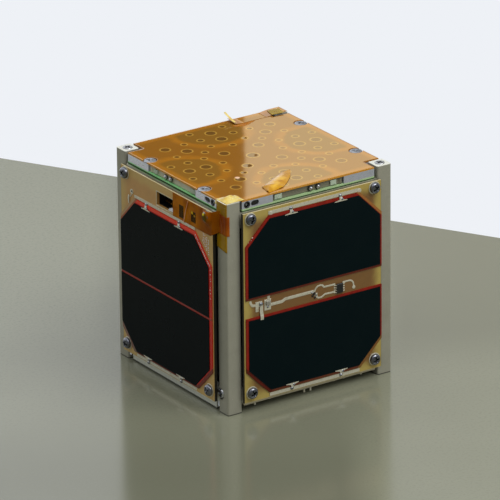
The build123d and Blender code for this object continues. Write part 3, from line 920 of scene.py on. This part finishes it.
# Ring pads at the bus strips' ends, and the side panels' test pads and straps
TEST_PAD = (-31.7, PANEL_OUT, 95.6)
PAD_PROFILE = ((1.35, 0), (1.35, 0.18), (1.2, 0.22), (0.75, 0.22), (0.65, 0.03))
EYE_PROFILE = ((0.6, 0), (0.6, 0.05), (0.5, 0.06), (0.3, 0.05))
STRAP = ((93.2, BUS_OUT, 0.45), (91.6, BUS_OUT + 0.3, 0.5), (89.8, BUS_OUT + 0.2, 0.55), (88.6, BUS_OUT, 0.4))
RING_PAD_U, RING_PAD_Z, RING_PAD_R = (-25.2, 28.4), 104.6, 1.15
shape = bmesh.new()
eyes = bmesh.new()
for side, u in product(("front", "back"), RING_PAD_U):
    slab(shape, side, round_outline(u, RING_PAD_Z, RING_PAD_R), PANEL_OUT, BUS_OUT + 0.06)
for side in FLANKS:
    lathe(shape, *on(side, *TEST_PAD), PAD_PROFILE, 28)
    track(shape, side, ((-31.9, 94.3), (-32.6, 93.0), (-33.6, 92.4)), 0.5, PANEL_OUT, BUS_OUT)
    ribbon(shape, side, -34.2, STRAP, 0.12)
    # black discs in the test pads' middles, painted shade standing for their holes
    lathe(eyes, *on(side, *TEST_PAD), EYE_PROFILE, 20)
piece("panel_pads", shape, TINNED)
piece("pad_eyes", eyes, BLACK)

# Contacts inside the service port and the side ports, and the service port's latch
CONTACT_PITCH, CONTACT_OUT = 2.4, (46.2, 48.4)
PIN_OUT = (46.0, 50.6)
LATCH_OUT = (49.6, 52.3)
shape = bmesh.new()
for index in range(6):
    u = -7.2 + index * CONTACT_PITCH
    slab(shape, "left", rectangle(u, u + 1.0, 97.0, 97.8), *CONTACT_OUT, 0.1)
for pin in ((22.9, 24.6, 99.6, 101.2), (24.8, 26.4, 97.0, 99.4), (13.2, 14.6, 97.2, 99.0)):
    slab(shape, "left", rectangle(*pin), *PIN_OUT, 0.15)
piece("port_contacts", shape, GOLD)
shape = bmesh.new()
slab(shape, "left", ((1.0, 96.0), (5.9, 96.0), (5.9, 97.0), (2.4, 97.3)), *LATCH_OUT, 0.15)
# the latch painted white as a highlight
piece("port_latch", shape, WHITE_AND_HIGHLIGHT)

# Pale cut edge round the service port
u0, u1, z0, z1 = -8.8, 6.2, 95.9, 103.0
RIM = 0.45
shape = bmesh.new()
for outline in (
    rectangle(u0 - RIM, u1 + RIM, z1, z1 + RIM),
    rectangle(u0 - RIM, u1 + RIM, z0 - RIM * 1.6, z0),
    rectangle(u0 - RIM, u0, z0, z1),
    rectangle(u1, u1 + RIM, z0, z1),
):
    slab(shape, "left", outline, PANEL_OUT - 0.02, PANEL_OUT + 0.06, 0.03)
piece("port_rim", shape, PALE)

# Spring plungers with a collar and a cross recess
PLUNGER_AT = 45.75
PLUNGER_PROFILE = (
    (1.55, 0), (1.55, 4.9), (2.5, 4.95), (2.6, 5.1), (2.45, 5.3), (2.1, 5.36),
    (cross_recess(1.75, 0.48), 5.34), (cross_recess(1.3, 0.34), 2.6),
)
shape = bmesh.new()
for x, y in product((-PLUNGER_AT, PLUNGER_AT), repeat=2):
    lathe(shape, Vector((x, y, BODY_TOP - 5.0)), UP, PLUNGER_PROFILE, 48, dice.uniform(0, math.tau))
plungers = piece("plungers", shape, STEEL)
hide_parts("rail_plungers")

# Dark eyelets with a stud in the slotted corner blocks, and black slabs deep in the slots as painted shade
EYELET_U, SLOT_U = 37.0, 32.2
SHADE_REACH, SHADE_R = 1.0, 1.2
EYELET = (
    (1.38, -3.6), (1.38, 0), (1.85, 0.01), (1.85, 0.10), (1.7, 0.16), (1.3, 0.16), (1.1, -0.1), (1.08, -3.4)
)
EYELET_STUD = ((0.7, -3.2), (0.7, -0.7), (0.5, -0.45), (0.1, -0.4))
BLOCK_FACE = -low("corner_block_front_left").y
BLOCK_MID = middle("corner_block_front_left").z
shape = bmesh.new()
studs = bmesh.new()
shade_slabs = bmesh.new()
for side, hand in (("front", -1), ("left", 1), ("back", -1), ("right", 1)):
    spot = on(side, hand * EYELET_U, BLOCK_FACE, BLOCK_MID)
    lathe(shape, *spot, EYELET, 32)
    lathe(studs, *spot, EYELET_STUD, 24)
    slot_u = hand * SLOT_U
    ends = round_outline(slot_u, BLOCK_MID, SHADE_R, 24)
    outline = [(u + math.copysign(SHADE_REACH, u - slot_u), z) for u, z in ends]
    slab(shade_slabs, side, outline, BLOCK_FACE - 3.9, BLOCK_FACE - 0.4, 0.25)
piece("block_eyelets", shape, DARK_STEEL)
piece("eyelet_studs", studs, DULL_STEEL)
piece("slot_shade", shade_slabs, BLACK)

# White plates on the folded ends of the low side bars: a painted highlight where the ends catch the light
shape = bmesh.new()
BAR_FACE = -low("side_bar_left_low").x
BAR_END_U = 40.6
for side, u in product(FLANKS, (-BAR_END_U, BAR_END_U)):
    slab(shape, side, rectangle(u - 0.8, u + 0.8, 2.3, 5.2), BAR_FACE, BAR_FACE + 0.12, 0.1)
piece("bar_ends", shape, WHITE_AND_HIGHLIGHT)

# Beads of glue squeezed out along the cells' cropped corners and edges; the many pale ones on the left
# panel's upper right cropped edge are also a painted highlight there
shape = bmesh.new()
GLUE_SEAT = CELL_OUT - 0.3
for side, start, end, count in (
    ("left", (26.4, 91.2), (39.4, 78.2), 34),
    ("left", (39.8, 77.0), (39.9, 60.0), 8),
    ("front", (-39.0, 91.6), (-36.0, 94.6), 3),
    ("right", (26.4, 91.2), (39.4, 78.2), 8),
    ("back", (-39.0, 91.6), (-33.0, 97.6), 3),
):
    for index in range(count):
        share = (index + dice.uniform(0.1, 0.9)) / count
        spot = Vector(start).lerp(Vector(end), share)
        size = dice.uniform(0.3, 0.95)
        u, z = spot.x + dice.uniform(-0.3, 0.3), spot.y + dice.uniform(-0.3, 0.3)
        solder(shape, side, u, z, GLUE_SEAT, size, size * 0.8, 0.22, index)
piece("glue_beads", shape, GLUE)

# Fine specks of glue beside the left panel's cropped edge, in upright rows
shape = bmesh.new()
for row in range(4):
    for index in range(9):
        u = 33.2 + row * 1.5 + dice.uniform(-0.25, 0.25)
        z = 93.6 - row * 0.6 - index * 0.95 + dice.uniform(-0.3, 0.3)
        if u + z > 121.6:
            solder(shape, "left", u, z, PANEL_OUT, 0.42, 0.7, 0.14, row + index)
piece("glue_specks", shape, WHITE_AND_HIGHLIGHT)

# Studs on dark seats and clear end clips on each antenna door
SEAT = ((1.5, 0), (1.5, 0.10), (1.35, 0.16), (0.8, 0.16))
STUD = ((1.1, 0.1), (1.15, 0.3), (1.05, 0.55), (0.7, 0.62), (0.68, 0.85), (0.5, 1.0), (0.1, 1.05))
CLIP_EYE = ((0.95, 0), (0.95, 0.15), (0.8, 0.2), (0.45, 0.2), (0.4, 0.05))
CLIP_HALF = 1.25
for side, hand in (("front", 1), ("right", -1), ("back", 1), ("left", -1)):
    door = f"door_{side}"
    studs = bmesh.new()
    seats = bmesh.new()
    clips = bmesh.new()
    for u in (1.5, 6.1):
        spot = on(side, u * hand, DOOR_FACE, DOOR_MID)
        lathe(seats, *spot, SEAT, 28)
        lathe(studs, *spot, STUD, 28)
    for u0, u1, rise in ((-20.2, -15.8, 0.30), (13.6, 17.2, 0.22)):
        outline = rectangle(*sorted((u0 * hand, u1 * hand)), DOOR_MID - CLIP_HALF, DOOR_MID + CLIP_HALF)
        slab(clips, side, outline, DOOR_FACE, DOOR_FACE + rise, 0.2)
    lathe(clips, *on(side, -18.0 * hand, DOOR_FACE + 0.28, DOOR_MID), CLIP_EYE, 24)
    piece(f"door_studs_{side}", studs, STUD_STEEL, door)
    piece(f"door_seats_{side}", seats, BLACK, door)
    piece(f"door_clips_{side}", clips, CLEAR, door)

# Film over the cover, drawn a little into its holes
FILM_LAY = 0.04
FILM_DIP = 0.004
FILM_SAG = 0.010
SAGS = ((0.0, 0.0, 2.9), (-10.5, -10.5, 2.4))
FILM_RIPPLE = 0.002


def dip(x, y, holes, depth):
    """How far the film is drawn into the deepest of some holes at a point."""
    ways = (math.hypot(x - hole_x, y - hole_y) / radius for hole_x, hole_y, radius in holes)
    return max((depth * (1 - way * way) ** 2 for way in ways if way < 1), default=0.0)


def film_height(x, y):
    wide, deep = abs(x), abs(y)
    drawn = max(
        dip(max(wide, deep), min(wide, deep), COVER_HOLES, FILM_DIP),
        dip(x, y, SAGS, FILM_SAG),
    )
    ripple = FILM_RIPPLE * noise.noise(Vector((x * 0.08, y * 0.08, 1.5)))
    return FILM_TOP - FILM_LAY - drawn + ripple


def graded(half, inner, step):
    """Grid lines from -half to half that also run along both sides of the corner notches."""
    def lines_between(start, end, count):
        return [start + (end - start) * index / count for index in range(count)]

    outer, wide = max(2, round((half - inner) / step)), round(2 * inner / step)
    lines = lines_between(-half, -inner, outer) + lines_between(-inner, inner, wide)
    return lines + lines_between(inner, half, outer) + [half]


shape = bmesh.new()
lines = graded(COVER_HALF, NOTCH, 0.7)
corners = {}
for i, x in enumerate(lines):
    for j, y in enumerate(lines):
        if abs(x) > NOTCH + 0.01 and abs(y) > NOTCH + 0.01:
            continue
        px, py, inside = x, y, False
        for sx, sy in TOP_SCREWS:
            away = Vector((x - sx, y - sy))
            if away.length < TOP_NOTCH_R:
                inside = True
                away = away.normalized() * TOP_NOTCH_R
                px = max(-COVER_HALF, min(COVER_HALF, sx + away.x))
                py = sy + away.y
        corners[i, j] = (shape.verts.new((px, py, film_height(px, py))), inside)
for i, j in list(corners):
    square = [corners.get(key) for key in ((i, j), (i + 1, j), (i + 1, j + 1), (i, j + 1))]
    if None in square or all(inside for _, inside in square):
        continue
    shape.faces.new([vert for vert, _ in square])
bmesh.ops.delete(shape, geom=[v for v in shape.verts if not v.link_faces], context="VERTS")
film = piece("film_sheet", shape, FILM, thickness=TAPE_THICK)
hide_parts("cover_film")

# Tape over the side ports, across the gap and round the front left rail
SIDE_TAPE_LOW = 94.6
SIDE_PATH = [
    Vector((u, out, 0))
    for u, out in ((6.2, PANEL_OUT), (41.6, PANEL_OUT), (43.2, RAIL_OUT + 0.9), (44.6, RAIL_OUT))
]


def side_tape(s, t):
    spot = along(SIDE_PATH, s)
    slope = 1.5 * max(0.0, s - 0.85) / 0.15
    z = SIDE_TAPE_LOW + slope * 2 + t * (PANEL_TOP - 0.1 - SIDE_TAPE_LOW - slope)
    crease = 17.0 + 3.4 * t
    ridge = 0.45 * math.exp(-((spot.x - crease) / 0.35) ** 2)
    bulge = 2.35 * math.exp(-(((spot.x - SCREW_X) ** 2 + (z - SCREW_LEVELS[1]) ** 2) / 11.5) ** 2)
    crinkle = 0.10 * noise.noise(Vector((spot.x * 0.5, z * 0.5, 4))) + 0.1
    return at("left", spot.x, spot.y + 0.05 + ridge + bulge + crinkle, z)


tape_side = sheet("port_tape", side_tape, 110, 40, TAPE_PORT)
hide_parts("tape_strips")
# Pale line along the tape's crease: a painted highlight on its edge
shape = bmesh.new()
track(shape, "left", ((16.4, 94.7), (18.4, 101.0), (20.6, 107.0)), 0.32, PANEL_OUT + 0.5, PANEL_OUT + 0.75)
piece("tape_crease", shape, TAPE_EDGE_HIGHLIGHT)


def rail_path(reach):
    """Path on plan along the rail's left face, round its edge and onto its front face."""
    points = [Vector((-RAIL_OUT, -RAIL_IN - 0.2, 0)), Vector((-RAIL_OUT, -RAIL_OUT + 1.0, 0))]
    for step in range(1, 9):
        angle = math.pi / 2 * step / 8
        points.append(Vector((-RAIL_OUT + 1 - math.cos(angle), -RAIL_OUT + 1 - math.sin(angle), 0)))
    return points + [Vector((-RAIL_OUT + 1 + reach, -RAIL_OUT, 0))]


def away_from_rail(spot, lift, z):
    core = Vector((-RAIL_OUT + 4.25, -RAIL_OUT + 4.25, 0))
    return spot + (spot - core).normalized() * lift + Vector((0, 0, z))


def rail_tape(s, t):
    spot = along(rail_path(0.15), s * 0.93)
    bottom = 89.4 - 1.6 * s
    z = bottom + t * (BODY_TOP - bottom)
    lift = 0.05 + 0.05 * (1 + noise.noise(Vector((s * 5, z * 0.4, 2))))
    return away_from_rail(spot, lift, z)


def rail_tape_double(s, t):
    spot = along(rail_path(0.9), s)
    bottom = 96.4 + 0.8 * math.sin(s * 3)
    z = bottom + t * (108.0 - 1.2 * s - bottom)
    crease = 0.35 * math.exp(-((s - 0.62 + 0.1 * t) / 0.05) ** 2)
    lift = 0.22 + crease + 0.08 * (1 + noise.noise(Vector((s * 6, z * 0.5, 6))))
    return away_from_rail(spot, lift, z)


sheet("rail_tape", rail_tape, 28, 40, TAPE_OLIVE)
sheet("rail_tape_double", rail_tape_double, 36, 30, TAPE_DOUBLE)


def corner_tape(s, t):
    """Crumpled end over the top of the rail, from its left face onto the film."""
    x = -RAIL_OUT - 0.1 + 11.5 * s
    y = -RAIL_OUT + 0.5 + t * (9.5 - 1.5 * s)
    hump = math.sin(math.pi * s) ** 0.5 * math.sin(math.pi * (0.1 + 0.8 * t))
    folds = abs(noise.noise(Vector((x * 0.20, y * 0.26, 9)))) * 2.6
    z = BODY_TOP + 0.10 + hump * (0.25 + folds)
    if s < 0.06:
        z = BODY_TOP - 2.0 * (0.06 - s) / 0.06
    return Vector((x, y, z))


sheet("corner_tape", corner_tape, 40, 36, TAPE_YELLOW)

FLAP_NEAR = [Vector(p) for p in ((-23.0, -48.2), (-13.0, -46.0), (-7.0, -41.0), (-2.0, -36.0), (2.2, -30.2))]
FLAP_FAR = [Vector(p) for p in ((-22.8, -45.5), (-21.5, -39.5), (-12.5, -34.4), (-3.0, -29.6), (2.4, -29.0))]


def flap_tape(s, t):
    """Leaf-shaped flap folded back over the film, arched between its two edges."""
    spot = along(FLAP_NEAR, s).lerp(along(FLAP_FAR, s), t)
    arch = 1.5 * math.sin(math.pi * t) ** 0.8 * math.sin(math.pi * min(1.0, 0.12 + s)) + 0.8 * s ** 3
    fold = 0.35 * math.exp(-((s - 0.28 + 0.12 * t) / 0.07) ** 2)
    return Vector((spot.x, spot.y, FILM_TOP + 0.08 + arch + fold))


sheet("flap_tape", flap_tape, 44, 34, TAPE)


def edge_tape(s, t):
    """Smooth strip along the back edge and over the corner rail, its left end curled up."""
    x = 17.0 + 32.2 * s
    y = 41.2 + 7.8 * t
    curl = 1.3 * max(0.0, 1 - s / 0.14) ** 2 * (0.3 + 0.7 * t)
    step = (BODY_TOP - FILM_TOP + 0.5) * min(1.0, max(0.0, (x - 37.0) / 5.0))
    return Vector((x, y, FILM_TOP + 0.06 + step + curl))


def corner_patch(s, t):
    """Second layer over the back right corner."""
    x = 39.5 + 7.0 * s + 1.2 * t
    y = 41.0 + 6.6 * t - 0.8 * s
    return Vector((x, y, BODY_TOP + 0.64 + 0.06 * noise.noise(Vector((x * 0.2, y * 0.2, 5)))))


def edge_shade(s, t):
    """Darker sheet beside the curled end: a painted shadow cast by the lifted end."""
    x = 14.6 + 14.4 * s
    y = 41.1 - (3.4 * math.sin(math.pi * s ** 0.7) + 0.2) * (1 - t)
    return Vector((x, y, FILM_TOP + 0.05))


def strand(s, t):
    """Thin peeled strand at the strip's end."""
    x = 16.6 + 1.1 * t - 1.2 * s
    y = 41.5 + 8.0 * s
    return Vector((x, y, FILM_TOP + 1.2 + 3.4 * s ** 1.4 + 0.25 * t))


sheet("edge_tape", edge_tape, 40, 24, FILM)
sheet("edge_shade", edge_shade, 30, 8, TAPE_SHADE, 0.03)
sheet("corner_patch", corner_patch, 20, 20, TAPE_PATCH)
sheet("edge_strand", strand, 6, 20, TAPE_YELLOW)


# Camera at the photograph's viewing angle
def heading(azimuth, elevation):
    """Way out from the middle, with azimuth 0 at the front."""
    a, e = math.radians(azimuth), math.radians(elevation)
    return Vector((math.sin(a) * math.cos(e), -math.cos(a) * math.cos(e), math.sin(e)))


AZIMUTH, ELEVATION, ROLL = -33.912, 21.828, math.radians(-0.549)
DISTANCE, FOCAL_PX, FRAME_PX, SENSOR = 2.848741, 5614.341, 500, 36.0
TARGET = Vector((-2.401, 0.0, 62.445)) * MM
back = heading(AZIMUTH, ELEVATION)
level_right = heading(AZIMUTH + 90, 0)
level_up = back.cross(level_right)
right = level_right * math.cos(ROLL) + level_up * math.sin(ROLL)
up = level_up * math.cos(ROLL) - level_right * math.sin(ROLL)
camera = add_object("camera", bpy.data.cameras.new("camera"))
camera.data.sensor_width = SENSOR
camera.data.lens = FOCAL_PX * SENSOR / FRAME_PX
camera.data.clip_end = 50
facing = Matrix((right, up, back)).transposed().to_4x4()
camera.matrix_world = Matrix.Translation(TARGET + back * DISTANCE) @ facing
bpy.context.scene.camera = camera


def ground(px, py):
    """Point of the floor seen at a pixel."""
    ray = right * (px - FRAME_PX / 2) - up * (py - FRAME_PX / 2) - back * FOCAL_PX
    start = camera.matrix_world.translation
    return start - ray * (start.z / ray.z)


# Pale table whose far edge runs behind the satellite, with painted shade and painted light on it
def table_paint():
    p = Paint("table_top", roughness=0.14, ior=1.62)
    across = p.toward(level_right.x, level_right.y)
    deep = p.toward(-level_right.y, level_right.x)

    def field(side, depth, share):
        return p.times(p.span(across, *side), p.span(deep, *depth, 0.0, share))

    p.colours(
        p.mix(p.noise(60, 4), (128, 129, 108), (137, 138, 117)),
        # painted shade on the floor in front of the satellite, where its shadow and reflection fall
        (field((60, 40), (-30, -150), 0.75), (106, 107, 89)),
        # painted shade on the floor to the right of the satellite and behind it
        (field((60, 80), (-20, 50), 0.7), (112, 113, 94)),
        # painted light on the floor far to the left, behind
        (field((-70, -90), (0, 60), 0.8), (148, 149, 126)),
        (p.specks(1.5, 3, 0.45, 0.75, 0.45), (118, 119, 100)),
    )
    p.relief(0.8, 2, 0.01)
    return p.material


TABLE_EDGE_PX = ((0, 158), (500, 238))
TABLE_RUN, TABLE_DEPTH = 4, 6
edge_a, edge_b = (ground(*pixel) for pixel in TABLE_EDGE_PX)
run = (edge_b - edge_a).normalized()
near = Vector((run.y, -run.x, 0))
far_a, far_b = edge_a - run * TABLE_RUN, edge_b + run * TABLE_RUN
outline = (far_a, far_b, far_b + near * TABLE_DEPTH, far_a + near * TABLE_DEPTH)
mesh = bpy.data.meshes.new("table")
mesh.from_pydata([(p.x, p.y, 0.0) for p in outline], [], [(0, 1, 2, 3)])
mesh.materials.append(table_paint())
table = add_object("table", mesh)

# Soft light: pale room, white behind for the camera, and two broad lamps
world = bpy.data.worlds.new("room")
bpy.context.scene.world = world
world.use_nodes = True
room = Nodes(world.node_tree, "Generated", 1.0)
WINDOW = (0.338, 0.3685)
EDGE = 0.002
rays = room.add("ShaderNodeLightPath").outputs
beside, behind, tall = room.toward(0.830, -0.558), room.toward(0.558, 0.830), room.z
band = room.times(
    room.line(tall, WINDOW[0], WINDOW[0] + EDGE), room.line(tall, WINDOW[1], WINDOW[1] - EDGE)
)
bright = room.line(beside, -0.00095, -0.00070, 0.03, 1.5)
bright = room.line(band, 0.0, 1.0, room.line(beside, -0.042, 0.042, 1.45, 0.60), bright)
ceiling = room.line(tall, 0.45, 0.85, 0.28, 1.0)
wall = room.line(behind, 0.0, 0.15, ceiling, bright)
soft = room.line(rays["Is Glossy Ray"], 0.0, 1.0, room.line(tall, 0.0, 0.55, 0.26, 0.76), wall)
strength = room.line(rays["Is Camera Ray"], 0.0, 1.0, soft, 1.0)
warm = room.times(band, rays["Is Glossy Ray"])
sky = room.tree.nodes["Background"]
room.join(room.mix(warm, (238, 241, 246), (246, 238, 206)), sky.inputs["Color"])
room.join(strength, sky.inputs["Strength"])


def lamp(name, azimuth, elevation, distance, size, power):
    data = bpy.data.lights.new(name, "AREA")
    data.size = size
    data.energy = power
    thing = add_object(name, data)
    way_out = heading(azimuth, elevation)
    thing.location = Vector((0, 0, 0.06)) + way_out * distance
    thing.rotation_mode = "QUATERNION"
    thing.rotation_quaternion = way_out.to_track_quat("Z", "Y")


lamp("key", 24, 48, 0.9, 0.55, 4.3)
lamp("top", -60, 78, 1.0, 0.9, 1.5)

bpy.context.scene.view_settings.view_transform = "Standard"
